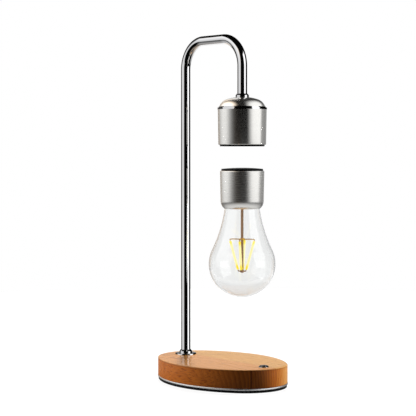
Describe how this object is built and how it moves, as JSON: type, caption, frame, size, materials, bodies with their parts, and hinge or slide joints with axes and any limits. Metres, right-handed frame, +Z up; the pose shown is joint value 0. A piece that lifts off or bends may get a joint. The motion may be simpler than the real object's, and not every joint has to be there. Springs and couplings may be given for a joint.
{
  "type": "levitating lamp",
  "caption": "Table lamp with an oval wooden base and a bent chrome tube whose magnet cup holds a clear filament bulb floating in the air below it.",
  "frame": {"origin": "under the middle of the oval base, on the surface that the lamp stands on", "axes": "+Z up; +X along the base, from the post to the push button; +Y to the rear, where the power inlet is"},
  "size_m": [0.1606, 0.1126, 0.361],
  "materials": {
    "rubber_pad": "matt, fine texture",
    "plate_steel": "brushed, bright edge",
    "wood": "oiled bamboo, fine straight grain",
    "zinc_steel": "zinc plated",
    "raw_iron": "bare, dull",
    "circuit_board": "solder resist",
    "black_plastic": "fine matt",
    "standoff_brass": "turned",
    "chrome": "polished",
    "satin_nickel": "satin, fine turned lines",
    "black_disc": "smooth satin black",
    "copper_winding": "enamelled wire",
    "nylon": "natural",
    "magnet_plating": "nickel plated",
    "bronze_rod": "dark, drawn",
    "gold_wire": "bright, drawn",
    "filament": "phosphor coat, lit",
    "clear_glass": "clear, polished"
  },
  "bodies": {
    "stand": {"grip_pad": "rubber_pad", "bottom_plate": "plate_steel", "plate_screws": "zinc_steel", "wood_base": "wood", "ballast": "raw_iron", "control_board": "circuit_board", "board_components": "black_plastic", "board_standoffs": "standoff_brass", "power_jack": "black_plastic", "jack_nut": "chrome", "button_bezel": "chrome", "bezel_nut": "chrome", "button_spring": "zinc_steel", "switch_body": "black_plastic", "arm_tube": "chrome", "post_flange": "chrome", "post_washer": "zinc_steel", "post_nut": "zinc_steel", "arm_lead": "black_plastic", "lead_connector": "nylon", "drop_collar": "chrome", "drop_washer": "zinc_steel", "drop_nut": "zinc_steel", "dome_cover": "satin_nickel", "trim_ring": "chrome", "cup_shell": "satin_nickel", "face_disc": "black_disc", "transmitter_coil": "copper_winding", "hall_board": "circuit_board", "coil_bobbin": "nylon", "magnet_coil": "copper_winding", "iron_core": "raw_iron", "driver_board": "circuit_board"},
    "float": {"float_magnet": "magnet_plating"},
    "bulb": {"cap_lid": "black_disc", "cap_shell": "satin_nickel", "magnet_clip": "zinc_steel", "receiver_coil": "copper_winding", "rectifier_board": "circuit_board", "stem_plug": "nylon", "stem_rod": "bronze_rod", "spreader_wire": "gold_wire", "filament_1": "filament", "filament_2": "filament", "filament_3": "filament", "filament_4": "filament", "lower_hub": "bronze_rod", "glass_bulb": "clear_glass"},
    "button": {"button_cap": "chrome"}
  },
  "joints": [
    {"name": "bulb_float", "type": "slide", "parent": "stand", "child": "float", "axis": [0, 0, 1], "range_m": [-0.0675, 0.0215], "stiffness_N_per_m": 450, "springref_m": 0.00405},
    {"name": "bulb_spin", "type": "hinge", "parent": "float", "child": "bulb", "pos_m": [0.032, 0, 0.215], "axis": [0, 0, 1], "continuous": true},
    {"name": "button_press", "type": "slide", "parent": "stand", "child": "button", "axis": [0, 0, -1], "range_m": [0, 0.001], "stiffness_N_per_m": 300, "springref_m": -0.002, "deforming": ["button_spring"]}
  ]
}
